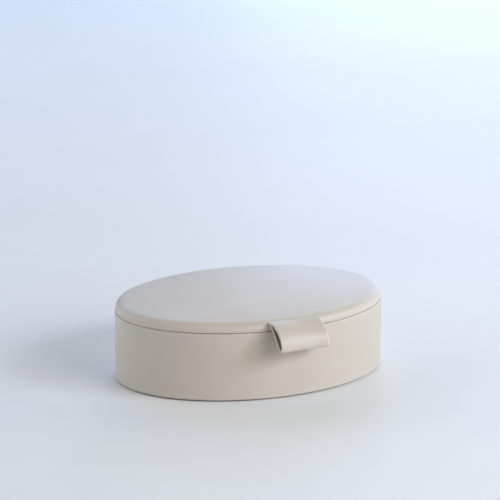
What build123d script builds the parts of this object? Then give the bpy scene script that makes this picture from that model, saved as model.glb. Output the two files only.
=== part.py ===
from build123d import *
import os

# Low oval box with a lift-off lid, all in millimetres. The plan is an ellipse with its long
# axis on X and its front facing -Y. The origin is the centre of the face it stands on, +Z up.
# An inset is measured inwards from the wall's outer face, and every oval surface is the
# ellipse whose two half axes are shorter by that inset.

# Overall
HALF_LENGTH = 111.0
HALF_WIDTH = 82.8
RIM_HEIGHT = 55.2
LID_TOP = 66.2

# Base, from the outside in
WRAP = 1.2
WALL = 4.0
COLLAR = 1.6
SUEDE = 0.8
WRAP_MARGIN = 15.0
SEAM_GAP = 0.2
FOOT_INSET = 3.0
FOOT_THICKNESS = 1.0
FLOOR_BOARD = 3.0
CARD = 1.0
FLOOR_FOAM = 3.0
PAD_GAP = 0.4
COLLAR_STAND = 2.8

# Lid, from the outside in
LID_INSET = 0.5
COVER = 1.1
RING = 1.9
RIM_LINING = 0.5
TOP_BOARD = 2.0
BOARD_LOW = 58.6
CROWN_RISE = 3.3
EDGE_ROUND = 6.0
PANEL_GAP = 0.6

# Pull tab: the outline is that of the finger hole inside the loop, and the strap's two
# leathers are laid round it. Points are (distance out from the wall, height).
TAB_WIDTH = 43.0
FACE_LEATHER = 0.9
TAB_LINING = 0.75
STRAP = FACE_LEATHER + TAB_LINING
TAB_SEAT = 59.8
BEND_OUT = 1.2
BEND_HEIGHT = TAB_SEAT + STRAP
CROWN_POINT = (18.35, 58.1)
FOLD_POINT = (18.35, 42.8)
BELLY_POINT = (8.15, 50.4)
CROWN_ROUND = 8.0
FOLD_ROUND = 0.95
BELLY_ROUND = 12.0

# How far the loop bends from rest, in degrees: down onto the wall, and pulled up
BEND_DOWN = -25.0
BEND_UP = 80.0
BEND_CLEARANCE = 0.35

# Tail of the strap inside the lid
TAIL_REACH = 24.0
TAIL_THICKNESS = 1.8
SLIT_DEPTH = 5.6
SLIT_CLEARANCE = 0.3
REBATE_CLEARANCE = 0.5

# Staples through the tail
STAPLE_COUNT = 3
STAPLE_PITCH = 14.0
STAPLE_CROWN = 9.0
STAPLE_WIDTH = 0.9
STAPLE_WIRE = 0.6
STAPLE_LEG = 3.2
STAPLE_OUT = -15.0

# Levels worked out from the thicknesses
WRAP_LOW = FOOT_THICKNESS
WALL_LOW = WRAP_LOW + WRAP
WALL_HIGH = RIM_HEIGHT - WRAP
FLOOR_HIGH = WALL_LOW + FLOOR_BOARD
COLLAR_HIGH = RIM_HEIGHT + COLLAR_STAND - SUEDE
LINING_HIGH = COLLAR_HIGH + SUEDE
RING_LOW = RIM_HEIGHT + COVER
BOARD_HIGH = BOARD_LOW + TOP_BOARD
TAIL_HIGH = TAB_SEAT + TAIL_THICKNESS

# Insets worked out from the thicknesses
COLLAR_OUT = WRAP + WALL
COLLAR_IN = COLLAR_OUT + COLLAR
LINING_IN = COLLAR_IN + SUEDE
SKIRT_OUT = COLLAR_OUT - SUEDE
CORE_INSET = LID_INSET + COVER
RING_IN = CORE_INSET + RING
RIM_LINING_IN = RING_IN + RIM_LINING
FLOOR_PAD_OUT = LINING_IN + PAD_GAP
PANEL_OUT = LINING_IN + PANEL_GAP

EDGE_BREAK = 0.6
ABOVE_LID = LID_TOP + 5.0


def oval(inset, low, high):
    """Solid oval prism between two heights."""
    face = Pos(0, 0, low) * Ellipse(HALF_LENGTH - inset, HALF_WIDTH - inset)
    return extrude(face, amount=high - low)


def oval_ring(outer_inset, inner_inset, low, high):
    """Oval band between two insets and two heights."""
    return oval(outer_inset, low, high) - oval(inner_inset, low, high)


def round_top(solid, radius):
    """Round the highest edge of a solid."""
    return fillet(solid.edges().group_by(Axis.Z)[-1], radius)


def round_bottom(solid, radius):
    """Round the lowest edge of a solid."""
    return fillet(solid.edges().group_by(Axis.Z)[0], radius)


def under_crown(inset):
    """The space under the lid's crown, lowered as far as the inset goes in from the lid."""
    half = HALF_LENGTH - LID_INSET
    radius = (half**2 + CROWN_RISE**2) / (2 * CROWN_RISE)
    ball = Rotation(0, 90, 0) * Sphere(radius - (inset - LID_INSET))
    squashed = scale(ball, by=(1, (HALF_WIDTH - LID_INSET) / half, 1))
    return Pos(0, 0, LID_TOP - radius) * squashed


def lid_form(inset, low):
    """The lid's outer shape taken in by an inset: oval side, rounded edge, crowned top."""
    block = oval(inset, low, ABOVE_LID) & under_crown(inset)
    return round_top(block, EDGE_ROUND - (inset - LID_INSET))


def front_box(half_width, out_low, out_high, low, high):
    """Box at the front centre, between two distances out from the wall."""
    middle = Pos(0, -HALF_WIDTH - (out_low + out_high) / 2, (low + high) / 2)
    return middle * Box(2 * half_width, out_high - out_low, high - low)


def front_section(sketch, width):
    """Run a section drawn as (distance out from the wall, height) across the front."""
    plane = Plane(origin=(0, -HALF_WIDTH, 0), x_dir=(0, -1, 0), z_dir=(-1, 0, 0))
    return extrude(plane * sketch, amount=width / 2, both=True)


def base_pieces():
    """Wall, floor, leather wrap, locating collar, linings and floor pad."""
    pieces = {}
    pieces["base_wall"] = oval_ring(WRAP, COLLAR_OUT, WALL_LOW, WALL_HIGH)
    pieces["base_floor_board"] = oval(COLLAR_OUT, WALL_LOW, FLOOR_HIGH)
    pieces["base_infill_card"] = oval(WRAP_MARGIN + SEAM_GAP, WRAP_LOW, WALL_LOW)
    pieces["base_bottom_cover"] = oval(FOOT_INSET, 0, FOOT_THICKNESS)

    wrap = round_top(oval(0, WRAP_LOW, RIM_HEIGHT), EDGE_BREAK)
    wrap = round_bottom(wrap, EDGE_BREAK)
    wrap -= oval(WRAP, WALL_LOW, WALL_HIGH)
    wrap -= oval(COLLAR_OUT, WALL_HIGH, RIM_HEIGHT)
    wrap -= oval(WRAP_MARGIN, WRAP_LOW, WALL_LOW)
    back_seam = Pos(0, HALF_WIDTH, RIM_HEIGHT / 2)
    back_seam *= Box(SEAM_GAP, 3 * WRAP_MARGIN, 2 * RIM_HEIGHT)
    pieces["base_side_wrap"] = wrap - back_seam

    pieces["locating_collar"] = oval_ring(COLLAR_OUT, COLLAR_IN, FLOOR_HIGH, COLLAR_HIGH)
    lining = oval(COLLAR_IN, FLOOR_HIGH, LINING_HIGH)
    lining += round_top(oval(SKIRT_OUT, RIM_HEIGHT, LINING_HIGH), EDGE_BREAK)
    lining -= oval_ring(COLLAR_OUT, COLLAR_IN, RIM_HEIGHT, COLLAR_HIGH)
    pieces["base_side_lining"] = lining - oval(LINING_IN, FLOOR_HIGH, LINING_HIGH)

    card_high = FLOOR_HIGH + CARD
    foam_high = card_high + FLOOR_FOAM
    card_inset = FLOOR_PAD_OUT + SUEDE
    pieces["floor_pad_card"] = oval(card_inset, FLOOR_HIGH, card_high)
    foam = round_top(oval(card_inset, card_high, foam_high), SUEDE)
    pieces["floor_pad_foam"] = foam
    cover = round_top(oval(FLOOR_PAD_OUT, FLOOR_HIGH, foam_high + SUEDE), 2 * SUEDE)
    cover -= oval(card_inset, FLOOR_HIGH, card_high)
    pieces["floor_pad_cover"] = cover - foam
    return pieces


def bend_sweep():
    """The sector, seen from the side, that the loop's two sides sweep as it bends."""
    pivot = Vector(BEND_OUT, BEND_HEIGHT)
    lowest = pivot + (Vector(*BELLY_POINT) - pivot).rotate(Axis.Z, BEND_DOWN)
    highest = pivot + (Vector(*CROWN_POINT) - pivot).rotate(Axis.Z, BEND_UP)
    sector = make_face(Polyline(pivot, lowest, highest, close=True))
    return offset(sector, amount=STRAP + BEND_CLEARANCE, kind=Kind.ARC)


def tab_tail():
    """The strap's two ends, glued together and skived thin where they run into the lid."""
    section = make_face(
        Polyline(
            (BEND_OUT, TAB_SEAT),
            (BEND_OUT, TAB_SEAT + 2 * STRAP),
            (BEND_OUT - STRAP, TAB_SEAT + 2 * STRAP),
            (-SLIT_DEPTH, TAIL_HIGH),
            (-TAIL_REACH, TAIL_HIGH),
            (-TAIL_REACH, TAB_SEAT),
            close=True,
        )
    )
    tail = front_section(section - bend_sweep(), TAB_WIDTH)
    return max(tail.solids(), key=lambda solid: solid.volume)


def tail_staples():
    """Flat wire staples driven through the tail into the board, crowns along X."""
    staples = []
    crown_high = TAIL_HIGH + STAPLE_WIRE
    for index in range(STAPLE_COUNT):
        centre = (index - (STAPLE_COUNT - 1) / 2) * STAPLE_PITCH
        low = STAPLE_OUT - STAPLE_WIDTH / 2
        high = STAPLE_OUT + STAPLE_WIDTH / 2
        outside = front_box(STAPLE_CROWN / 2, low, high, crown_high - STAPLE_LEG, crown_high)
        inside_half = STAPLE_CROWN / 2 - STAPLE_WIRE
        inside = front_box(inside_half, low, high, crown_high - STAPLE_LEG, TAIL_HIGH)
        staples.append(Pos(centre, 0, 0) * (outside - inside))
    return staples


def lid_pieces():
    """Ring, board, domed pad, leather cover, linings, and the anchored end of the tab."""
    pieces = {}
    core = lid_form(CORE_INSET, RING_LOW)
    staples = tail_staples()
    tail = tab_tail()
    for staple in staples:
        tail -= staple

    ring_zone = oval(0, RING_LOW, BOARD_LOW)
    board_zone = oval(0, BOARD_LOW, BOARD_HIGH)
    pad_zone = oval(0, BOARD_HIGH, ABOVE_LID)
    pieces["lid_rim_ring"] = (core & ring_zone) - oval(RING_IN, RING_LOW, BOARD_LOW)

    rebate_half = TAB_WIDTH / 2 + REBATE_CLEARANCE
    rebate_back = -TAIL_REACH - REBATE_CLEARANCE
    board = (core & board_zone) - front_box(rebate_half, rebate_back, 0, TAB_SEAT, BOARD_HIGH)
    pad = (core & pad_zone) - front_box(TAB_WIDTH / 2, -TAIL_REACH, 0, BOARD_HIGH, TAIL_HIGH)
    pad -= front_box(TAB_WIDTH / 2, -SLIT_DEPTH, 0, BOARD_HIGH, ABOVE_LID)
    for staple in staples:
        board -= staple
        pad -= staple
    pieces["lid_top_board"] = board
    pieces["lid_pad_foam"] = pad

    cover = round_bottom(lid_form(LID_INSET, RIM_HEIGHT), EDGE_BREAK) - core
    cover -= oval(RING_IN, RIM_HEIGHT, RING_LOW)
    slit_half = TAB_WIDTH / 2 + SLIT_CLEARANCE
    cover -= front_box(slit_half, -SLIT_DEPTH, SLIT_DEPTH, TAB_SEAT, ABOVE_LID)
    pieces["lid_leather_cover"] = cover

    pieces["lid_rim_lining"] = oval_ring(RING_IN, RIM_LINING_IN, RIM_HEIGHT, BOARD_LOW)
    card_low = BOARD_LOW - CARD
    card = oval(PANEL_OUT + SUEDE, card_low, BOARD_LOW)
    pieces["lid_lining_card"] = card
    panel = round_bottom(oval(PANEL_OUT, card_low - SUEDE, BOARD_LOW), EDGE_BREAK)
    pieces["lid_lining_cover"] = panel - card

    pieces["tab_tail"] = tail
    pieces["tab_tail_staples"] = Compound(children=staples)
    return pieces


def tab_pieces():
    """The strap folded into a loop: face leather outside, lining leather inside."""
    corners = {CROWN_POINT: CROWN_ROUND, FOLD_POINT: FOLD_ROUND, BELLY_POINT: BELLY_ROUND}
    hole = make_face(Polyline((BEND_OUT, BEND_HEIGHT), *corners, close=True))
    for point, radius in corners.items():
        corner = hole.vertices().sort_by_distance(point)[0]
        hole = fillet(corner, radius)
    lined = offset(hole, amount=TAB_LINING, kind=Kind.ARC)
    strap = offset(hole, amount=STRAP, kind=Kind.ARC)
    pieces = {}
    pieces["pull_tab_face"] = front_section(strap - lined, TAB_WIDTH)
    pieces["pull_tab_lining"] = front_section(lined - hole, TAB_WIDTH)
    return pieces


os.makedirs("parts", exist_ok=True)
for pieces in (base_pieces(), lid_pieces(), tab_pieces()):
    for name, piece in pieces.items():
        export_step(piece, f"parts/{name}.step")
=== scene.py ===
import math

import bmesh
import bpy
import numpy as np
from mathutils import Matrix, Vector
from mathutils.kdtree import KDTree


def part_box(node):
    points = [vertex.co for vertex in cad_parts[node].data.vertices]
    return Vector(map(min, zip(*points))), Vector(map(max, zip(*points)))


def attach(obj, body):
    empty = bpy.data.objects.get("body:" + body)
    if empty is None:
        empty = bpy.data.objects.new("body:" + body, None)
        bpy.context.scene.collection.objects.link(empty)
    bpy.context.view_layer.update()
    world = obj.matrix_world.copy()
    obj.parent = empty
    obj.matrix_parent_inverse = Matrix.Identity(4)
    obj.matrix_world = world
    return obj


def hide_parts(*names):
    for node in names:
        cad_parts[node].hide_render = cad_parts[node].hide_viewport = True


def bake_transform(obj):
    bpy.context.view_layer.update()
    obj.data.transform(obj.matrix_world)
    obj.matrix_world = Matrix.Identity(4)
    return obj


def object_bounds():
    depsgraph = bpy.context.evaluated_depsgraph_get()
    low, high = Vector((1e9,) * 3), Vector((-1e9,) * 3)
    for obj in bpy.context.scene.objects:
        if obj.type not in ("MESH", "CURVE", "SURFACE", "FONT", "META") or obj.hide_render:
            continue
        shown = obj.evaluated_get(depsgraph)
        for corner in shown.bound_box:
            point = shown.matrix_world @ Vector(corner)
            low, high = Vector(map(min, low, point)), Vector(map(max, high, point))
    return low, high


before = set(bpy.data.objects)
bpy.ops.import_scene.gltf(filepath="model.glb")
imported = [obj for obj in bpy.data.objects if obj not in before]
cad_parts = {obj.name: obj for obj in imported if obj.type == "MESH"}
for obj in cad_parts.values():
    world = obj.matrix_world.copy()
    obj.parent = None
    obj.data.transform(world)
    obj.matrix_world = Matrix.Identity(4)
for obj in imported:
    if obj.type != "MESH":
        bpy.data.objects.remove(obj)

# Everything is in metres, in the frame's axes: the oval's long axis on X, front towards -Y.
CAD_LOW, CAD_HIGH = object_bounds()
MM = 0.001

# Sizes read from the frame
HALF_LENGTH, HALF_WIDTH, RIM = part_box("base_side_wrap")[1]
WRAP_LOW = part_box("base_side_wrap")[0].z
LID_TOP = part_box("lid_leather_cover")[1].z
TAB_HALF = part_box("pull_tab_face")[1].x
LINING_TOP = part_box("base_side_lining")[1].z
FLOOR_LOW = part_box("floor_pad_cover")[0].z
FLOOR_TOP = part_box("floor_pad_cover")[1].z
PANEL_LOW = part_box("lid_lining_cover")[0].z
BOARD_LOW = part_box("lid_lining_cover")[1].z

# Thicknesses, and insets from the wall's outer face, as the pieces are layered
WRAP_THICK = 1.2 * MM
COVER_THICK = 1.1 * MM
SUEDE_THICK = 0.8 * MM
WRAP_MARGIN = 15.0 * MM
LID_INSET = 0.5 * MM
COLLAR_OUT = 5.2 * MM
COLLAR_IN = 6.8 * MM
LINING_IN = 7.6 * MM
SKIRT_OUT = 4.4 * MM
LID_TURN_IN = 3.5 * MM
RIM_LINING_IN = 4.0 * MM
FLOOR_PAD_OUT = 8.0 * MM
PANEL_OUT = 8.2 * MM
COLLAR_HIGH = LINING_TOP - SUEDE_THICK

# The shadow gap between lid and base: how far it is cut into each, how far in it goes, the run
# over which it closes there, and the round on its lips
SEAM_DROP = 0.32 * MM
SEAM_LIFT = 0.08 * MM
SEAM_DEEP = 2.2 * MM
SEAM_CLOSE = 0.4 * MM
LIP_ROUND = 0.35 * MM

# Cloth simulation: a sheet of this many squares a side, run for this many frames. The rise at a
# place is taken from this many of the sheet's points, the nearest ones.
CLOTH_GRID = 56
CLOTH_FRAMES = 20
CLOTH_QUALITY = 6
CLOTH_PRESSURE = 4.0
CLOTH_NEAREST = 4

# Edge wear is full where the mesh turns this far or more at an edge
WEAR_ANGLE = math.radians(22.0)

# Colours, linear
IVORY = (0.570, 0.520, 0.465)
IVORY_DEEP = (0.515, 0.467, 0.412)
IVORY_WORN = (0.640, 0.592, 0.540)
EDGE_PAINT = (0.640, 0.560, 0.505)
# The strap's worn colour, lighter and pinker, also tones its pressed edge band: part burnished
# edge, part painted highlight
STRAP_WEAR_AND_BAND_HIGHLIGHT = (0.645, 0.578, 0.526)
# The strap's inner leather is painted dark brown: painted shade for the inside of the loop
PAINTED_SHADE_LINING = (0.340, 0.288, 0.235)
PAINTED_SHADE_LINING_DEEP = (0.290, 0.243, 0.196)
SUEDE = (0.480, 0.420, 0.355)
SUEDE_DARK = (0.400, 0.345, 0.288)
FELT = (0.300, 0.268, 0.232)
FELT_DARK = (0.225, 0.200, 0.172)
PLY = (0.56, 0.40, 0.24)
PLY_DARK = (0.44, 0.29, 0.16)
BOARD = (0.38, 0.27, 0.17)
BOARD_DARK = (0.29, 0.20, 0.12)
CARD = (0.30, 0.29, 0.27)
CARD_DARK = (0.24, 0.23, 0.21)
FOAM = (0.80, 0.77, 0.66)
FOAM_PIT = (0.58, 0.54, 0.43)
WIRE = (0.62, 0.62, 0.64)
WIRE_DARK = (0.44, 0.44, 0.46)
FLOOR_COLOUR = (0.79, 0.805, 0.83)


# ---------------------------------------------------------------- materials

def fresh_material(name):
    """A material with only its shader, and the shader itself."""
    material = bpy.data.materials.new(name)
    material.use_nodes = True
    shader = material.node_tree.nodes["Principled BSDF"]
    return material, shader


def add(tree, kind, **settings):
    """Add a node, set its properties and its inputs by name."""
    made = tree.nodes.new(kind)
    for key, value in settings.items():
        if hasattr(made, key):
            setattr(made, key, value)
        else:
            made.inputs[key.replace("_", " ")].default_value = value
    return made


def object_place(tree):
    """The surface's place in its own object, in metres."""
    return tree.nodes.new("ShaderNodeTexCoord").outputs["Object"]


def noise_value(tree, place, scale, detail=3.0, rough=0.5, stretch=None):
    """Fractal noise from 0 to 1, stretched along an axis if asked."""
    if stretch:
        mapping = add(tree, "ShaderNodeMapping")
        mapping.inputs["Scale"].default_value = stretch
        tree.links.new(place, mapping.inputs["Vector"])
        place = mapping.outputs["Vector"]
    made = add(tree, "ShaderNodeTexNoise", Scale=scale, Detail=detail, Roughness=rough)
    tree.links.new(place, made.inputs["Vector"])
    return made.outputs["Fac"]


def ranged(tree, value, low, high, to_low, to_high):
    """Map a value from one range to another."""
    made = add(tree, "ShaderNodeMapRange")
    limits = {"From Min": low, "From Max": high, "To Min": to_low, "To Max": to_high}
    for key, number in limits.items():
        made.inputs[key].default_value = number
    tree.links.new(value, made.inputs["Value"])
    return made.outputs["Result"]


def mixed(tree, factor, first, second):
    """Mix two colours, each a constant or a socket."""
    made = add(tree, "ShaderNodeMix", data_type="RGBA")
    tree.links.new(factor, made.inputs["Factor"])
    for socket, colour in ((made.inputs[6], first), (made.inputs[7], second)):
        if isinstance(colour, tuple):
            socket.default_value = (*colour, 1.0)
        else:
            tree.links.new(colour, socket)
    return made.outputs[2]


def raised(tree, height, distance, strength, under=None):
    """Bump from a height, laid over another bump if there is one."""
    made = add(tree, "ShaderNodeBump", Distance=distance, Strength=strength)
    tree.links.new(height, made.inputs["Height"])
    if under is not None:
        tree.links.new(under, made.inputs["Normal"])
    return made.outputs["Normal"]


def worn_edge(tree):
    """The mesh's own edge wear, from 0 to 1; on the strap it also holds the pressed edge band,
    part painted highlight.
    """
    return add(tree, "ShaderNodeAttribute", attribute_name="edge_wear").outputs["Fac"]


def leather(name, colour, deep, worn, gloss=0.40, grain=1.0):
    """Smooth finished leather: fine pebbled grain, faint mottling, lighter worn edges."""
    material, shader = fresh_material(name)
    tree = material.node_tree
    place = object_place(tree)
    warp = add(tree, "ShaderNodeTexNoise", Scale=420.0, Detail=2.0)
    warp_reach = 0.9 * MM
    tree.links.new(place, warp.inputs["Vector"])
    shift = add(tree, "ShaderNodeVectorMath", operation="MULTIPLY_ADD")
    tree.links.new(warp.outputs["Color"], shift.inputs[0])
    shift.inputs[1].default_value = (warp_reach, warp_reach, warp_reach)
    tree.links.new(place, shift.inputs[2])
    cells = add(tree, "ShaderNodeTexVoronoi", feature="DISTANCE_TO_EDGE", Scale=1250.0)
    tree.links.new(shift.outputs[0], cells.inputs["Vector"])
    pebble = ranged(tree, cells.outputs["Distance"], 0.0, 0.22, 0.0, 1.0)
    pores = noise_value(tree, place, scale=5200.0, detail=2.0)
    broad = noise_value(tree, place, scale=46.0, detail=4.0, rough=0.55)
    mottle = noise_value(tree, place, scale=19.0, detail=3.0, rough=0.6)

    tone = mixed(tree, ranged(tree, mottle, 0.35, 0.68, 0.0, 0.45), colour, deep)
    valley = mixed(tree, ranged(tree, pebble, 0.0, 0.5, 0.35, 0.0), tone, deep)
    edge = ranged(tree, worn_edge(tree), 0.1, 0.9, 0.0, 0.75)
    tree.links.new(mixed(tree, edge, valley, worn), shader.inputs["Base Color"])

    rough = ranged(tree, broad, 0.3, 0.7, gloss - 0.02, gloss + 0.04)
    tree.links.new(rough, shader.inputs["Roughness"])
    bump = raised(tree, broad, 0.4 * MM, 0.06)
    bump = raised(tree, pebble, 0.06 * MM, 0.5 * grain, under=bump)
    bump = raised(tree, pores, 0.03 * MM, 0.3 * grain, under=bump)
    tree.links.new(bump, shader.inputs["Normal"])
    shader.inputs["Specular IOR Level"].default_value = 0.42
    shader.inputs["Sheen Weight"].default_value = 0.06
    shader.inputs["Sheen Roughness"].default_value = 0.45
    return material


def suede(name, colour, dark, nap=1.0, sheen=0.35):
    """Napped suede or felt: matt, mottled by brushing, with a soft sheen."""
    material, shader = fresh_material(name)
    tree = material.node_tree
    place = object_place(tree)
    fibres = noise_value(tree, place, scale=3800.0, detail=4.0, rough=0.7)
    brushed = noise_value(tree, place, scale=60.0, detail=4.0, rough=0.6, stretch=(1.0, 2.2, 1.6))
    patches = noise_value(tree, place, scale=21.0, detail=2.0, rough=0.5)
    tone = mixed(tree, ranged(tree, brushed, 0.36, 0.64, 0.0, 1.0), colour, dark)
    tone = mixed(tree, ranged(tree, fibres, 0.35, 0.65, 0.0, 0.55), tone, dark)
    tone = mixed(tree, ranged(tree, patches, 0.45, 0.75, 0.0, 0.35), tone, colour)
    tree.links.new(tone, shader.inputs["Base Color"])
    bump = raised(tree, brushed, 0.4 * MM, 0.2)
    bump = raised(tree, fibres, 0.12 * MM, 0.8 * nap, under=bump)
    tree.links.new(bump, shader.inputs["Normal"])
    tree.links.new(ranged(tree, fibres, 0.3, 0.7, 0.86, 0.97), shader.inputs["Roughness"])
    shader.inputs["Sheen Weight"].default_value = sheen
    shader.inputs["Sheen Roughness"].default_value = 0.5
    shader.inputs["Specular IOR Level"].default_value = 0.2
    return material


def streaked(name, colour, dark, scale, stretch, rough):
    """Ply, fibreboard or card: streaks or specks of a darker tone."""
    material, shader = fresh_material(name)
    tree = material.node_tree
    place = object_place(tree)
    streaks = noise_value(tree, place, scale, detail=5.0, rough=0.65, stretch=stretch)
    specks = noise_value(tree, place, scale=2600.0, detail=2.0, rough=0.6)
    tone = mixed(tree, ranged(tree, streaks, 0.35, 0.65, 0.0, 1.0), colour, dark)
    tone = mixed(tree, ranged(tree, specks, 0.5, 0.75, 0.0, 0.4), tone, dark)
    tree.links.new(tone, shader.inputs["Base Color"])
    tree.links.new(raised(tree, streaks, 0.2 * MM, 0.3), shader.inputs["Normal"])
    gloss = ranged(tree, specks, 0.3, 0.7, rough - 0.05, rough + 0.05)
    tree.links.new(gloss, shader.inputs["Roughness"])
    return material


def foam_material(name):
    """Open-cell foam: pale, pitted."""
    material, shader = fresh_material(name)
    tree = material.node_tree
    place = object_place(tree)
    cells = add(tree, "ShaderNodeTexVoronoi", Scale=1600.0)
    tree.links.new(place, cells.inputs["Vector"])
    pits = ranged(tree, cells.outputs["Distance"], 0.1, 0.6, 1.0, 0.0)
    tone = mixed(tree, pits, FOAM, FOAM_PIT)
    tree.links.new(tone, shader.inputs["Base Color"])
    tree.links.new(raised(tree, pits, 0.4 * MM, 0.8), shader.inputs["Normal"])
    shader.inputs["Roughness"].default_value = 0.95
    return material


def wire_material(name):
    """Bright drawn wire with fine lengthwise scratches."""
    material, shader = fresh_material(name)
    tree = material.node_tree
    place = object_place(tree)
    scratches = noise_value(
        tree, place, scale=900.0, detail=3.0, rough=0.6, stretch=(0.15, 1.0, 1.0)
    )
    tone = mixed(tree, scratches, WIRE, WIRE_DARK)
    tree.links.new(tone, shader.inputs["Base Color"])
    tree.links.new(ranged(tree, scratches, 0.3, 0.7, 0.25, 0.42), shader.inputs["Roughness"])
    shader.inputs["Metallic"].default_value = 1.0
    return material


def floor_material(name):
    """Plain pale matt surface with barely visible clouding."""
    material, shader = fresh_material(name)
    tree = material.node_tree
    cloud = noise_value(tree, object_place(tree), scale=3.0, detail=5.0, rough=0.6)
    deeper = tuple(0.965 * channel for channel in FLOOR_COLOUR)
    tone = mixed(tree, ranged(tree, cloud, 0.35, 0.7, 0.0, 1.0), FLOOR_COLOUR, deeper)
    tree.links.new(tone, shader.inputs["Base Color"])
    shader.inputs["Roughness"].default_value = 0.55
    shader.inputs["Specular IOR Level"].default_value = 0.3
    return material


# ---------------------------------------------------------------- mesh tools

def smooth_step(value):
    """0 below 0, 1 above 1, smooth between."""
    value = np.clip(value, 0, 1)
    return value * value * (3 - 2 * value)


def fillet_path(corners, steps=6):
    """Points along straight runs whose corners are rounded. A corner is (x, y, radius)."""
    points = []
    for index, (x, y, radius) in enumerate(corners):
        corner = np.array((x, y))
        if radius == 0 or index in (0, len(corners) - 1):
            points.append(corner)
            continue
        before = np.array(corners[index - 1][:2]) - corner
        after = np.array(corners[index + 1][:2]) - corner
        before /= np.linalg.norm(before)
        after /= np.linalg.norm(after)
        half = math.acos(max(-1.0, min(1.0, before @ after))) / 2
        middle = (before + after) / np.linalg.norm(before + after)
        centre = corner + middle * radius / math.sin(half)
        first = corner + before * radius / math.tan(half) - centre
        last = corner + after * radius / math.tan(half) - centre
        turn = math.pi - 2 * half
        for step in range(steps + 1):
            share = step / steps
            weights = math.sin((1 - share) * turn), math.sin(share * turn)
            points.append(centre + (weights[0] * first + weights[1] * last) / math.sin(turn))
    return points


def divided(points, longest):
    """Add points so that no run is longer than asked."""
    made = [points[0]]
    for start, end in zip(points[:-1], points[1:]):
        parts = max(1, math.ceil(np.linalg.norm(end - start) / longest))
        for part in range(1, parts + 1):
            made.append(start + (end - start) * part / parts)
    return made


def disc_grid(count):
    """A square grid of quads pressed into the unit disc, and its border in order."""
    line = np.linspace(-1, 1, count + 1)
    across, along = np.meshgrid(line, line, indexing="ij")
    flat_x = across * np.sqrt(1 - along**2 / 2)
    flat_y = along * np.sqrt(1 - across**2 / 2)
    places = np.stack([flat_x.ravel(), flat_y.ravel()], 1)
    number = np.arange((count + 1) ** 2).reshape(count + 1, count + 1)
    border = np.concatenate([number[:-1, 0], number[-1, :-1], number[:0:-1, -1], number[0, :0:-1]])
    corners = (number[:-1, :-1], number[1:, :-1], number[1:, 1:], number[:-1, 1:])
    quads = np.stack([corner.ravel() for corner in corners], 1)
    return places, border, quads


def oval_piece(name, profile, grid=72, capped=True):
    """Sweep a profile of (inset, height) round the oval. Capped, its first and last rings are
    filled; otherwise the profile is a closed loop."""
    places, border, quads = disc_grid(grid)
    unit = places[border]
    ring_size = len(border)
    profile = np.array(profile)
    halves = np.array((HALF_LENGTH, HALF_WIDTH)) - profile[:, :1]
    rings = np.zeros((len(profile), ring_size, 3))
    rings[:, :, :2] = unit[None] * halves[:, None]
    rings[:, :, 2] = profile[:, 1:]
    vertices = rings.reshape(-1, 3)
    number = np.arange(len(vertices)).reshape(len(profile), ring_size)
    faces = []
    pairs = list(zip(number[:-1], number[1:]))
    if not capped:
        pairs.append((number[-1], number[0]))
    for lower, upper in pairs:
        faces.append(np.stack([lower, upper, np.roll(upper, -1), np.roll(lower, -1)], 1))
    if capped:
        on_border = np.full(len(places), -1)
        on_border[border] = np.arange(ring_size)
        for ring, flip in ((0, False), (len(profile) - 1, True)):
            index = np.where(on_border >= 0, number[ring][on_border], 0)
            inner = np.flatnonzero(on_border < 0)
            index[inner] = len(vertices) + np.arange(len(inner))
            cap = np.zeros((len(inner), 3))
            cap[:, :2] = places[inner] * halves[ring]
            cap[:, 2] = profile[ring, 1]
            vertices = np.concatenate([vertices, cap])
            cap_quads = index[quads]
            faces.append(cap_quads[:, ::-1] if flip else cap_quads)
    return new_piece(name, vertices.tolist(), np.concatenate(faces).tolist())


def new_piece(name, vertices, faces):
    """A mesh object in the scene."""
    mesh = bpy.data.meshes.new(name)
    mesh.from_pydata(vertices, [], faces)
    piece = bpy.data.objects.new(name, mesh)
    bpy.context.scene.collection.objects.link(piece)
    return piece


def places_of(piece):
    """A mesh's vertices as an array."""
    flat = np.zeros(len(piece.data.vertices) * 3)
    piece.data.vertices.foreach_get("co", flat)
    return flat.reshape(-1, 3)


def place_vertices(piece, places):
    """Put an array back as a mesh's vertices."""
    piece.data.vertices.foreach_set("co", places.ravel())
    piece.data.update()


def rolled(edge, reach, low, rise, power, steps=14):
    """Points of (inset, height) from a level top out and down to an upright side: a quarter of
    a superellipse."""
    points = []
    for turn in np.linspace(math.pi / 2, 0, steps + 1):
        across = edge + reach * (1 - math.cos(turn) ** (2 / power))
        points.append(np.array((across, low + rise * math.sin(turn) ** (2 / power))))
    return points


def prism(outline, axis, low, high):
    """A straight cutter from an outline: (x, y) drawn up Z, or (y, z) drawn across X."""
    if axis == "z":
        rows = [[(x, y, level) for x, y in outline] for level in (low, high)]
    else:
        rows = [[(level, y, z) for y, z in outline] for level in (low, high)]
    count = len(outline)
    faces = [list(range(count)), list(range(2 * count - 1, count - 1, -1))]
    for index in range(count):
        after = (index + 1) % count
        faces.append([index, after, count + after, count + index])
    cutter = new_piece("cutter", rows[0] + rows[1], faces)
    work = bmesh.new()
    work.from_mesh(cutter.data)
    bmesh.ops.recalc_face_normals(work, faces=work.faces)
    work.to_mesh(cutter.data)
    work.free()
    return cutter


def cut_away(piece, cutter):
    """Take the cutter's shape out of a piece, and delete the cutter."""
    cut = piece.modifiers.new("cut", "BOOLEAN")
    cut.operation = "DIFFERENCE"
    cut.solver = "EXACT"
    cut.object = cutter
    seen = piece.evaluated_get(bpy.context.evaluated_depsgraph_get())
    piece.data = bpy.data.meshes.new_from_object(seen)
    piece.modifiers.clear()
    bpy.data.objects.remove(cutter)


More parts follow.
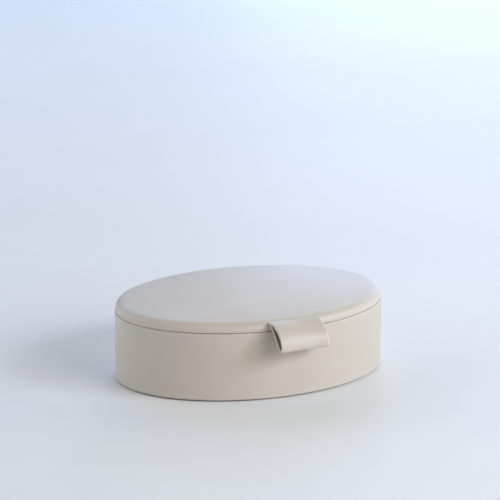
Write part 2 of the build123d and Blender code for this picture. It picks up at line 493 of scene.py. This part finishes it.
def cloth_rise(inset, height, most):
    """Cloth simulation of a skin over padding, held round its edge and pushed up from inside.
    Gives the rise at any place, no more than the most asked for."""
    flat, border, quads = disc_grid(CLOTH_GRID)
    places = np.zeros((len(flat), 3))
    places[:, :2] = flat * (HALF_LENGTH - inset, HALF_WIDTH - inset)
    places[:, 2] = height(places[:, 0], places[:, 1])
    sheet = new_piece("cloth_sheet", places.tolist(), quads.tolist())
    held = sheet.vertex_groups.new(name="held")
    held.add(border.tolist(), 1.0, "REPLACE")
    cloth = sheet.modifiers.new("cloth", "CLOTH")
    cloth.point_cache.frame_end = CLOTH_FRAMES
    settings = cloth.settings
    settings.quality = CLOTH_QUALITY
    settings.vertex_group_mass = held.name
    settings.effector_weights.gravity = 0.0
    settings.use_pressure = True
    settings.uniform_pressure_force = CLOTH_PRESSURE
    for frame_number in range(1, CLOTH_FRAMES + 1):
        bpy.context.scene.frame_set(frame_number)
    seen = sheet.evaluated_get(bpy.context.evaluated_depsgraph_get())
    settled = np.array([vertex.co.z for vertex in seen.data.vertices])
    bpy.data.objects.remove(sheet)
    bpy.context.scene.frame_set(1)
    rise = np.abs(settled - places[:, 2])
    rise *= most / rise.max()
    tree = KDTree(len(places))
    for index, (x, y, _) in enumerate(places):
        tree.insert((x, y, 0), index)
    tree.balance()

    def at(x, y):
        """Rise at each place, from the sheet's nearest points."""
        found = []
        for spot in zip(x, y):
            near = tree.find_n((*spot, 0), CLOTH_NEAREST)
            weights = np.array([1 / (distance + 0.1 * MM) ** 2 for _, _, distance in near])
            found.append(weights @ rise[[index for _, index, _ in near]] / weights.sum())
        return np.array(found)

    return at


def finish_mesh(piece, material, sharp=48.0, wear_passes=2):
    """Consistent normals, smooth shading with crisp corners, and the edge wear attribute."""
    work = bmesh.new()
    work.from_mesh(piece.data)
    bmesh.ops.recalc_face_normals(work, faces=work.faces)
    bend = np.zeros(len(work.verts))
    for edge in work.edges:
        angle = edge.calc_face_angle(0.0)
        edge.smooth = angle < math.radians(sharp)
        for vertex in edge.verts:
            bend[vertex.index] = max(bend[vertex.index], angle)
    for face in work.faces:
        face.smooth = True
    links = [
        [edge.other_vert(vertex).index for edge in vertex.link_edges] for vertex in work.verts
    ]
    work.to_mesh(piece.data)
    work.free()
    wear = np.clip(bend / WEAR_ANGLE, 0, 1)
    for _ in range(wear_passes):
        around = np.array([wear[near].mean() for near in links])
        wear = 0.5 * wear + 0.5 * around
    attribute = piece.data.attributes.new("edge_wear", "FLOAT", "POINT")
    attribute.data.foreach_set("value", wear.astype(np.float32))
    piece.data.materials.clear()
    piece.data.materials.append(material)
    return piece


# ---------------------------------------------------------------- base

# Rounds on the wrap's foot and on the side lining's top
FOOT_ROUND = 1.4 * MM
SUEDE_ROUND = 0.6 * MM
# The floor pad stands this much fuller inside the first reach, and falls to its edge height over
# the run after it, both as shares of the half lengths
FLOOR_CROWN = 0.5 * MM
FLOOR_FULL = 0.25
FLOOR_FALL = 0.62
# The butt seam at the back: half its gap below the surface and at the surface
BACK_GAP = 0.12 * MM
BACK_FLARE = 0.35 * MM


def make_side_wrap(material):
    """Leather round the wall, turned in over the rim and under the bottom, seam at the back."""
    corners = [
        (COLLAR_OUT, RIM, 0),
        (SEAM_DEEP + SEAM_CLOSE, RIM, 0),
        (SEAM_DEEP, RIM - SEAM_DROP, 0),
        (0, RIM - SEAM_DROP, LIP_ROUND),
        (0, WRAP_LOW, FOOT_ROUND),
        (WRAP_MARGIN, WRAP_LOW, 0),
        (WRAP_MARGIN, WRAP_LOW + WRAP_THICK, 0),
        (WRAP_THICK, WRAP_LOW + WRAP_THICK, 0),
        (WRAP_THICK, RIM - WRAP_THICK, 0),
        (COLLAR_OUT, RIM - WRAP_THICK, 0),
    ]
    profile = divided(fillet_path(corners), longest=3.0 * MM)
    piece = oval_piece("side_wrap_leather", profile, grid=96, capped=False)
    cut_away(piece, back_seam_cutter())
    return finish_mesh(piece, material)


def back_seam_cutter():
    """A blade as thick as the gap at the butt seam, flared where it meets the surface."""
    inside = HALF_WIDTH - 2 * WRAP_MARGIN
    outside = HALF_WIDTH + 2 * MM
    flare_in = HALF_WIDTH - 0.5 * MM
    flare_out = HALF_WIDTH + 0.1 * MM
    outline = [
        (-BACK_GAP, inside),
        (BACK_GAP, inside),
        (BACK_GAP, flare_in),
        (BACK_FLARE, flare_out),
        (BACK_FLARE, outside),
        (-BACK_FLARE, outside),
        (-BACK_FLARE, flare_out),
        (-BACK_GAP, flare_in),
    ]
    return prism(outline, "z", -1 * MM, RIM + 1 * MM)


def make_side_lining(material):
    """Suede down the inside wall, over the collar and down its outer face."""
    corners = [
        (LINING_IN, FLOOR_LOW, 0),
        (LINING_IN, LINING_TOP, SUEDE_ROUND),
        (SKIRT_OUT, LINING_TOP, SUEDE_ROUND),
        (SKIRT_OUT, RIM, 0),
        (COLLAR_OUT, RIM, 0),
        (COLLAR_OUT, COLLAR_HIGH, 0),
        (COLLAR_IN, COLLAR_HIGH, 0),
        (COLLAR_IN, FLOOR_LOW, 0),
    ]
    profile = divided(fillet_path(corners), longest=3.0 * MM)
    piece = oval_piece("side_lining_suede", profile, grid=72, capped=False)
    return finish_mesh(piece, material)


def make_bottom_felt(material):
    """Felt sheet that the box stands on, its edge slightly softened."""
    low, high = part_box("base_bottom_cover")
    inset = HALF_LENGTH - high.x
    corners = [
        (inset, high.z, 0),
        (inset, low.z, 0.4 * MM),
        (inset + 6 * MM, low.z, 0),
    ]
    profile = divided(fillet_path(corners), longest=3.0 * MM)
    piece = oval_piece("bottom_felt", profile, grid=48)
    return finish_mesh(piece, material)


def make_floor_pad(material):
    """Drop-in padded suede floor, crowned, its edge pulled under the card."""
    top = FLOOR_TOP - FLOOR_CROWN
    corners = [
        (FLOOR_PAD_OUT + 14 * MM, top, 0),
        (FLOOR_PAD_OUT, top - 0.2 * MM, 2.4 * MM),
        (FLOOR_PAD_OUT, FLOOR_LOW, 0.3 * MM),
        (FLOOR_PAD_OUT + 8 * MM, FLOOR_LOW, 0),
    ]
    profile = divided(fillet_path(corners), longest=2.0 * MM)
    piece = oval_piece("floor_pad_suede", profile, grid=64)
    places = places_of(piece)
    reach = np.hypot(places[:, 0] / HALF_LENGTH, places[:, 1] / HALF_WIDTH)
    crown = FLOOR_CROWN * (1 - smooth_step((reach - FLOOR_FULL) / FLOOR_FALL))
    on_top = places[:, 2] > FLOOR_LOW + 1 * MM
    places[:, 2] += crown * on_top
    place_vertices(piece, places)
    return finish_mesh(piece, material)


# ---------------------------------------------------------------- lid

# The foam core under the leather: the round of its edge, and its crown's rise
CORE_ROUND = 6.0 * MM
CORE_RISE = 3.3 * MM
CORE_EDGE_HIGH = LID_TOP - CORE_RISE
# The leather's edge rolls off over this far in, between these heights
LID_ROLL = 8.0 * MM
LID_ROLL_POWER = 2.6
LID_ROLL_LOW = RIM + 0.9 * MM
LID_EDGE_HIGH = LID_TOP - 4.3 * MM
# Over all of it lies a crown, and the cloth simulation adds the puff, which fades out from this
# reach to the edge
LID_PUFF = 0.5 * MM
PUFF_FADES = 0.9
LID_RISE = LID_TOP - LID_EDGE_HIGH - LID_PUFF
LID_CROWN_POWER = 2.8
LID_LEVEL_RUN = 2 * MM
# Quads across the lid's caps; the rings have four times as many points
LID_GRID = 112
# The padding stands fuller at the two ends: side, start and run in half lengths, lift
END_LIFTS = (
    (-1, 0.4, 0.5, 1.1 * MM),
    (1, 0.6, 0.4, 0.9 * MM),
)
# Creases drawn in from the slit's ends, in millimetres: start and end as (x, distance out), depth
CREASES = (
    ((23.0, -1.5), (13.0, -10.0), 0.28),
    ((-23.0, -1.5), (-15.0, -8.0), 0.16),
)
CREASE_WIDTH = 2.0 * MM
# Section of the slit as (distance out, height) in millimetres, and its room beside the strap
SLIT_SECTION = (
    (-7.5, 59.0), (-7.5, 60.7), (-5.0, 61.0), (-3.4, 61.3), (-2.0, 62.2), (1.0, 63.2), (1.0, 59.0),
)
SLIT_CLEARANCE = 0.3 * MM
# The lid's lip, outside this reach, stands higher round one bearing, in radians from +X, and
# waves a little
LIP_REACH = 0.96
LIP_RISE = 0.22 * MM
LIP_BEARING = -2.35
LIP_SPREAD = 0.35
LIP_WAVE = 0.03 * MM


def lid_reach(x, y):
    """0 at the lid's centre, 1 at its edge."""
    return np.clip(np.hypot(x / (HALF_LENGTH - LID_INSET), y / (HALF_WIDTH - LID_INSET)), 0, 1)


def lid_crown(x, y):
    """Height of the leather's top over its edge before it settles: a cushion that rolls off."""
    return LID_RISE * (1 - lid_reach(x, y) ** LID_CROWN_POWER)


def lid_creases(x, y):
    """How deep the leather is drawn down by the creases at the slit's ends."""
    depth = np.zeros(len(x))
    for start, end, deep in CREASES:
        start = np.array((start[0], -HALF_WIDTH / MM - start[1])) * MM
        end = np.array((end[0], -HALF_WIDTH / MM - end[1])) * MM
        run = end - start
        along = ((x - start[0]) * run[0] + (y - start[1]) * run[1]) / (run @ run)
        nearest = np.clip(along, 0, 1)
        away = np.hypot(x - start[0] - nearest * run[0], y - start[1] - nearest * run[1])
        fade = 1 - smooth_step(nearest)
        depth += deep * MM * fade * np.exp(-((away / CREASE_WIDTH) ** 2))
    return depth


def make_lid_cover(material):
    """The lid's leather: padded top, rolled edge, short side, turned in under the ring."""
    level = LID_INSET + LID_ROLL + LID_LEVEL_RUN
    lip_low = RIM + SEAM_LIFT
    lower = fillet_path([
        (LID_INSET, LID_ROLL_LOW, 0),
        (LID_INSET, lip_low, LIP_ROUND),
        (SEAM_DEEP, lip_low, 0),
        (SEAM_DEEP + SEAM_CLOSE, RIM, 0),
        (LID_TURN_IN, RIM, 0),
    ])
    roll_rise = LID_EDGE_HIGH - LID_ROLL_LOW
    outer = [np.array((level, LID_EDGE_HIGH))]
    outer += rolled(LID_INSET, LID_ROLL, LID_ROLL_LOW, roll_rise, LID_ROLL_POWER)
    outer = divided(outer + lower[1:], longest=1.5 * MM)
    side_in = LID_INSET + COVER_THICK
    core_high = CORE_EDGE_HIGH - COVER_THICK
    inner = fillet_path([
        (LID_TURN_IN, RIM + COVER_THICK, 0),
        (side_in, RIM + COVER_THICK, 0),
        (side_in, core_high, CORE_ROUND - COVER_THICK),
        (level, core_high, 0),
    ], steps=12)
    inner = divided(inner, longest=1.5 * MM)
    piece = oval_piece("lid_cover_leather", outer + inner, grid=LID_GRID)

    places = places_of(piece)
    x, y, z = places.T
    reach = lid_reach(x, y)
    outside = outer_skin(len(places), len(outer), len(inner))
    puff = cloth_rise(level, lid_crown, LID_PUFF)(x, y)
    puff *= 1 - smooth_step((reach - PUFF_FADES) / (1 - PUFF_FADES))
    share = smooth_step((z - LID_ROLL_LOW) / roll_rise)
    top = (lid_crown(x, y) + puff + end_lift(x, y) - lid_creases(x, y)) * share
    under = CORE_RISE * (1 - reach**2) * share
    places[:, 2] += np.where(outside, top, under)
    on_side = (z > RIM + 0.5 * SEAM_LIFT) & (z < LID_ROLL_LOW) & (reach > LIP_REACH)
    places[:, 2] += np.where(outside & on_side, lip_lift(x, y), 0)
    place_vertices(piece, places)
    cut_away(piece, slit_cutter())
    return finish_mesh(piece, material)


def outer_skin(count, outer_rings, inner_rings):
    """Which of the cover's vertices are on its outer skin: the rings come first, then one cap for
    each skin."""
    ring_size = 4 * LID_GRID
    rings = (outer_rings + inner_rings) * ring_size
    cap_size = (count - rings) // 2
    number = np.arange(count)
    on_cap = (number >= rings) & (number < rings + cap_size)
    return (number < outer_rings * ring_size) | on_cap


def end_lift(x, y):
    """How much fuller the padding stands near the ends."""
    lift = np.zeros(len(x))
    for side, start, run, most in END_LIFTS:
        lift += most * smooth_step((side * x / HALF_LENGTH - start) / run)
    return lift * lid_reach(x, y) ** 3


def lip_lift(x, y):
    """The turned-in edge isn't quite even: it stands a little higher at the front left."""
    bearing = np.arctan2(y, x)
    front_left = np.exp(-(((bearing - LIP_BEARING) / LIP_SPREAD) ** 2))
    return LIP_RISE * front_left + LIP_WAVE * np.sin(5 * bearing + 0.6)


def slit_cutter():
    """The slit that the strap comes out of, just wider than the strap."""
    outline = [(-HALF_WIDTH - out * MM, z * MM) for out, z in SLIT_SECTION]
    half = TAB_HALF + SLIT_CLEARANCE
    return prism(outline, "x", -half, half)


def make_lid_lining(material):
    """Suede-covered panel that closes the lid's underside."""
    corners = [
        (PANEL_OUT + 8 * MM, BOARD_LOW, 0),
        (PANEL_OUT, BOARD_LOW, 0),
        (PANEL_OUT, PANEL_LOW, 0.7 * MM),
        (PANEL_OUT + 14 * MM, PANEL_LOW, 0),
    ]
    profile = divided(fillet_path(corners), longest=2.0 * MM)
    piece = oval_piece("lid_lining_suede", profile, grid=64)
    return finish_mesh(piece, material)


def make_rim_lining(material):
    """Suede strip inside the lid's ring."""
    corners = [
        (LID_TURN_IN, RIM + 0.1 * MM, 0),
        (RIM_LINING_IN, RIM + 0.1 * MM, 0.2 * MM),
        (RIM_LINING_IN, BOARD_LOW, 0),
        (LID_TURN_IN, BOARD_LOW, 0),
    ]
    profile = divided(fillet_path(corners), longest=2.0 * MM)
    piece = oval_piece("lid_rim_suede", profile, grid=72, capped=False)
    return finish_mesh(piece, material)


# ---------------------------------------------------------------- pull tab

# The strap's middle line, between its two leathers, as (distance out from the wall, height)
# in millimetres: it comes out of the lid, goes over the crown, folds at the bottom and runs
# back in. The two ends of the loop hang differently, so each side has its own line.
LEFT_LINE = (
    (-10.0, 60.3), (-6.0, 60.8), (-2.4, 61.5), (1.4, 61.9), (5.2, 61.5), (9.6, 60.1), (14.2, 57.4),
    (18.1, 53.4), (20.1, 48.8), (19.7, 45.2), (18.0, 43.7), (15.6, 45.6), (11.2, 50.0),
    (6.4, 54.6), (2.8, 58.2), (0.2, 60.0), (-5.0, 59.7), (-10.0, 59.7),
)
RIGHT_LINE = (
    (-10.0, 60.3), (-6.0, 60.8), (-2.4, 60.9), (0.8, 60.2), (4.2, 58.6), (8.6, 56.1),
    (12.9, 53.6), (15.3, 49.6), (15.7, 45.1), (14.0, 42.2), (11.0, 43.8), (7.4, 47.8),
    (4.6, 52.4), (2.3, 57.0), (0.0, 59.7), (-5.0, 59.6), (-10.0, 59.7),
)
STRAP_STEPS = 150
FACE_THICK = 1.05 * MM
FACE_ROUND = 0.45 * MM
LINING_THICK = 0.85 * MM
LINING_ROUND = 0.3 * MM
BOND_ROUND = 0.12 * MM
# The leathers are thinned to this share at the strap's ends, back to full over this run of it
ROOT_SKIVE = 0.8
SKIVE_RUN = 0.22
# The bump over the root at the left end has died out this far across, in half widths; the
# root is this much of the strap's length, and gives way to the loop over the next run
BUMP_RUN = 1.3
ROOT_LENGTH = 0.12
ROOT_FADE = 0.16
# The pressed edge band: where it starts on the left and right, in half widths, its drop at the
# edge and the drop's power, and how far before its start its lighter tone begins and over what run
# that grows to full. The lighter tone is part burnished edge, part painted highlight.
BAND_STARTS = (0.85, 0.93)
BAND_DROP = 0.40 * MM
BAND_POWER = 1.6
BAND_EARLY = 0.02
BAND_FADE = 0.06
# The flat faces reach this share of the half width, and a face whose sides both lie past the
# second share is on the painted cut edge
FLAT_REACH = 0.96
CUT_EDGE = 0.975


def spline(controls, count, per_span=40):
    """Points evenly spread along a clamped cubic B-spline."""
    controls = np.array(controls, float)
    controls = np.concatenate([controls[:1], controls[:1], controls, controls[-1:], controls[-1:]])
    spans = len(controls) - 3
    places = []
    for value in np.linspace(0, spans, per_span * spans, endpoint=False):
        start = int(value)
        t = value - start
        first = (1 - t) ** 3
        second = 3 * t**3 - 6 * t**2 + 4
        third = -3 * t**3 + 3 * t**2 + 3 * t + 1
        weights = np.array((first, second, third, t**3)) / 6
        places.append(weights @ controls[start : start + 4])
    places = np.array(places)
    lengths = np.concatenate([[0], np.cumsum(np.linalg.norm(np.diff(places, axis=0), axis=1))])
    wanted = np.linspace(0, lengths[-1], count)
    return np.stack([np.interp(wanted, lengths, places[:, k]) for k in (0, 1)], 1)


def strap_rows(section):
    """The strap's vertices: for each point of its section across, a row along its length."""
    left = spline(LEFT_LINE, STRAP_STEPS) * MM
    right = spline(RIGHT_LINE, STRAP_STEPS) * MM
    reach = np.linspace(0, 1, STRAP_STEPS)
    from_end = np.minimum(reach, 1 - reach)
    skive = ROOT_SKIVE + (1 - ROOT_SKIVE) * smooth_step(from_end / SKIVE_RUN)
    near_root = 1 - smooth_step((reach - ROOT_LENGTH) / ROOT_FADE)
    rows = []
    for side, height in section:
        start = BAND_STARTS[side > 0]
        in_band = max(0.0, (abs(side) - start) / (1 - start))
        if height > 0.5 * FACE_THICK:
            height -= BAND_DROP * in_band**BAND_POWER
        loop_share = smooth_step((side + 1) / 2)
        root_share = smooth_step((side + 1) / BUMP_RUN)
        share = loop_share + (root_share - loop_share) * near_root[:, None]
        line = left * (1 - share) + right * share
        tangent = np.gradient(line, axis=0)
        tangent /= np.linalg.norm(tangent, axis=1)[:, None]
        normal = np.stack([-tangent[:, 1], tangent[:, 0]], 1)
        spot = line + normal * (height * skive)[:, None]
        across = np.full(STRAP_STEPS, side * TAB_HALF)
        rows.append(np.stack([across, -HALF_WIDTH - spot[:, 0], spot[:, 1]], 1))
    return np.array(rows)


def strap_layer(name, inner, outer, inner_round, outer_round, material, edge_material):
    """One leather of the strap: a closed band between two distances from the middle line."""
    section = edge_section(inner, outer, inner_round, outer_round)
    rows = strap_rows(section)
    count = len(rows)
    number = np.arange(count * STRAP_STEPS).reshape(count, STRAP_STEPS)
    faces = []
    painted = []
    for row in range(count):
        after = (row + 1) % count
        here, there = number[row], number[after]
        quads = np.stack([here[:-1], here[1:], there[1:], there[:-1]], 1)
        faces.extend(quads.tolist())
        on_edge = abs(section[row][0]) > CUT_EDGE and abs(section[after][0]) > CUT_EDGE
        painted.extend([on_edge] * len(quads))
    faces.append(number[:, 0].tolist())
    faces.append(number[::-1, -1].tolist())
    painted.extend([False, False])
    piece = new_piece(name, rows.reshape(-1, 3).tolist(), faces)
    finish_mesh(piece, material, sharp=60.0)
    # Lightens the pressed edge band: part burnished edge, part painted highlight
    band_wear_and_highlight(piece)
    piece.data.materials.append(edge_material)
    for polygon, on_edge in zip(piece.data.polygons, painted):
        polygon.material_index = 1 if on_edge else 0
    return piece


def band_wear_and_highlight(piece):
    """Make the pressed edge band as light as a worn edge: part burnished edge, part painted
    highlight.
    """
    sides = places_of(piece)[:, 0] / TAB_HALF
    starts = np.where(sides > 0, BAND_STARTS[1], BAND_STARTS[0])
    band = smooth_step((np.abs(sides) - starts + BAND_EARLY) / BAND_FADE)
    wear = np.zeros(len(sides), np.float32)
    attribute = piece.data.attributes["edge_wear"]
    attribute.data.foreach_get("value", wear)
    attribute.data.foreach_set("value", np.maximum(wear, band).astype(np.float32))


def edge_section(inner, outer, inner_round, outer_round, columns=34, steps=5):
    """Outline of a band across its width: (side from -1 to 1, distance from the middle line)."""
    def corner(side, level, towards, radius):
        """Quarter round from a cut edge to a flat side."""
        points = []
        for turn in np.linspace(0, math.pi / 2, steps + 1):
            across = side * (1 - radius * (1 - math.cos(turn)) / TAB_HALF)
            points.append((across, level + towards * radius * (1 - math.sin(turn))))
        return points

    flat = FLAT_REACH * np.sin(np.linspace(-math.pi / 2, math.pi / 2, columns))
    outline = corner(-1, outer, -1, outer_round)
    outline += [(side, outer) for side in flat]
    outline += corner(1, outer, -1, outer_round)[::-1]
    outline += corner(1, inner, 1, inner_round)
    outline += [(side, inner) for side in flat[::-1]]
    outline += corner(-1, inner, 1, inner_round)[::-1]
    return outline


# ---------------------------------------------------------------- surroundings

def make_floor(material):
    """A wide pale floor."""
    bpy.ops.mesh.primitive_grid_add(x_subdivisions=8, y_subdivisions=8, size=8.0)
    floor = bpy.context.object
    floor.name = "floor"
    floor.location.z = CAD_LOW.z
    floor.data.materials.append(material)


def make_camera():
    """Long lens at the photograph's angle: from the front left, and from a little above."""
    turn = math.radians(25.67)
    tilt = math.radians(15.37)
    level = math.cos(tilt)
    ahead = Vector((math.sin(turn) * level, math.cos(turn) * level, -math.sin(tilt)))
    right = Vector((math.cos(turn), -math.sin(turn), 0))
    up = right.cross(ahead)
    # How far the box's origin is to the right of, above and ahead of the camera, in half lengths
    centre_right, centre_up, away = -0.007, -0.8507, 21.7014
    data = bpy.data.cameras.new("camera")
    data.lens = 216.0
    data.sensor_width = 36.0
    data.clip_end = 50.0
    camera = bpy.data.objects.new("camera", data)
    bpy.context.scene.collection.objects.link(camera)
    camera.location = -(right * centre_right + up * centre_up + ahead * away) * HALF_LENGTH
    camera.rotation_euler = ahead.to_track_quat("-Z", "Y").to_euler()
    bpy.context.scene.camera = camera


def softbox(name, azimuth, elevation, distance, size, power, colour):
    """A square area light aimed at the origin. Its place is a bearing from the front, turning
    towards the right, and a height angle, both in degrees, and a distance."""
    data = bpy.data.lights.new(name, "AREA")
    data.size = size
    data.energy = power
    data.color = colour
    light = bpy.data.objects.new(name, data)
    bpy.context.scene.collection.objects.link(light)
    turn, lift = math.radians(azimuth), math.radians(elevation)
    level = math.cos(lift)
    place = Vector((math.sin(turn) * level, -math.cos(turn) * level, math.sin(lift)))
    light.location = place * distance
    light.rotation_euler = (-place).to_track_quat("-Z", "Y").to_euler()


# Name, bearing, height angle, distance, size, watts, colour. Places and sizes were chosen one by
# one. The watts and colours, here and of the ambient light, were not: another program made them,
# by a least-squares fit of renders under one light at a time to tones sampled from the photograph.
LIGHTS = (
    ("window_back", 180, 34, 2.3, 1.4, 13.9, (0.20, 0.48, 1.00)),
    ("window_back_right", 140, 11, 2.3, 1.2, 16.3, (0.42, 0.59, 1.00)),
    ("lamp_back_right", 140, 34, 2.3, 1.4, 6.3, (1.00, 0.91, 0.69)),
    ("window_right", 95, 20, 2.3, 1.4, 11.3, (1.00, 0.97, 0.92)),
    ("key_right", 66, 28, 2.3, 0.8, 3.3, (0.01, 0.50, 1.00)),
    ("key_front_right", 45, 28, 2.3, 0.8, 24.7, (0.73, 0.87, 1.00)),
    ("fill_front_right", 22, 25, 2.6, 1.4, 33.7, (1.00, 0.89, 0.88)),
    ("fill_left", 270, 20, 2.3, 1.4, 15.5, (0.68, 0.80, 1.00)),
    ("fill_back_left", 220, 22, 2.3, 1.4, 15.0, (1.00, 0.90, 0.85)),
)
AMBIENT = (1.00, 0.82, 0.38)
AMBIENT_STRENGTH = 0.189


def make_light():
    """Soft lights from behind, from the right and from the front right, two fills from the left,
    and a faint warm ambient light."""
    world = bpy.data.worlds.new("world")
    bpy.context.scene.world = world
    world.use_nodes = True
    background = world.node_tree.nodes["Background"]
    background.inputs["Color"].default_value = (*AMBIENT, 1.0)
    background.inputs["Strength"].default_value = AMBIENT_STRENGTH
    for settings in LIGHTS:
        softbox(*settings)


# ---------------------------------------------------------------- scene

def dress_hidden_nodes():
    """Materials for the CAD nodes that stay: boards, cards, foams and wire inside the box."""
    ply = streaked("bent_ply", PLY, PLY_DARK, scale=240.0, stretch=(0.2, 0.2, 2.0), rough=0.7)
    board = streaked("fibreboard", BOARD, BOARD_DARK, scale=900.0, stretch=None, rough=0.8)
    card = streaked("grey_card", CARD, CARD_DARK, scale=700.0, stretch=None, rough=0.9)
    foam = foam_material("foam")
    wire = wire_material("staple_wire")
    finishes = {
        "base_wall": ply, "lid_rim_ring": ply,
        "base_floor_board": board, "lid_top_board": board,
        "base_infill_card": card, "locating_collar": card,
        "floor_pad_card": card, "lid_lining_card": card,
        "floor_pad_foam": foam, "lid_pad_foam": foam,
        "tab_tail_staples": wire,
    }
    for name, finish in finishes.items():
        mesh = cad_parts[name].data
        mesh.materials.clear()
        mesh.materials.append(finish)


def build():
    """Every piece that replaces a CAD node, the base's and lid's on their bodies, and the CAD
    nodes' own materials.
    """
    hide = leather("ivory_leather", IVORY, IVORY_DEEP, IVORY_WORN)
    # The strap's worn colour also lightens its pressed edge band: part burnished edge, part
    # painted highlight
    strap_hide = leather("strap_leather", IVORY, IVORY_DEEP, STRAP_WEAR_AND_BAND_HIGHLIGHT, gloss=0.46, grain=0.8)
    # The strap's inner leather takes the dark colour, painted shade for the inside of the loop
    strap_lining_painted_shade = leather("strap_lining_painted_shade", PAINTED_SHADE_LINING, PAINTED_SHADE_LINING_DEEP, IVORY_DEEP, gloss=0.6)
    paint = leather("edge_paint", EDGE_PAINT, EDGE_PAINT, IVORY_WORN, gloss=0.42, grain=0.3)
    lining = suede("suede", SUEDE, SUEDE_DARK)
    felt = suede("felt", FELT, FELT_DARK, nap=1.3, sheen=0.15)
    dress_hidden_nodes()

    pieces = (
        (make_side_wrap(hide), "base", "leather_ivory", "base_side_wrap"),
        (make_side_lining(lining), "base", "suede_lining", "base_side_lining"),
        (make_bottom_felt(felt), "base", "felt", "base_bottom_cover"),
        (make_floor_pad(lining), "base", "suede_lining", "floor_pad_cover"),
        (make_lid_cover(hide), "lid", "leather_ivory", "lid_leather_cover"),
        (make_lid_lining(lining), "lid", "suede_lining", "lid_lining_cover"),
        (make_rim_lining(lining), "lid", "suede_lining", "lid_rim_lining"),
    )
    for piece, body, slot_name, node in pieces:
        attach(piece, body)
        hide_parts(node)

    face = strap_layer(
        "pull_tab_leather", 0, FACE_THICK, BOND_ROUND, FACE_ROUND, strap_hide, paint
    )
    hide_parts("pull_tab_face", "tab_tail")
    inner = strap_layer(
        "pull_tab_inner_leather", -LINING_THICK, 0, LINING_ROUND, BOND_ROUND, strap_lining_painted_shade, paint
    )
    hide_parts("pull_tab_lining")
    for piece in (face, inner):
        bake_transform(piece)


make_camera()
build()
make_floor(floor_material("pale_floor"))
make_light()
bpy.context.scene.view_settings.view_transform = "Standard"
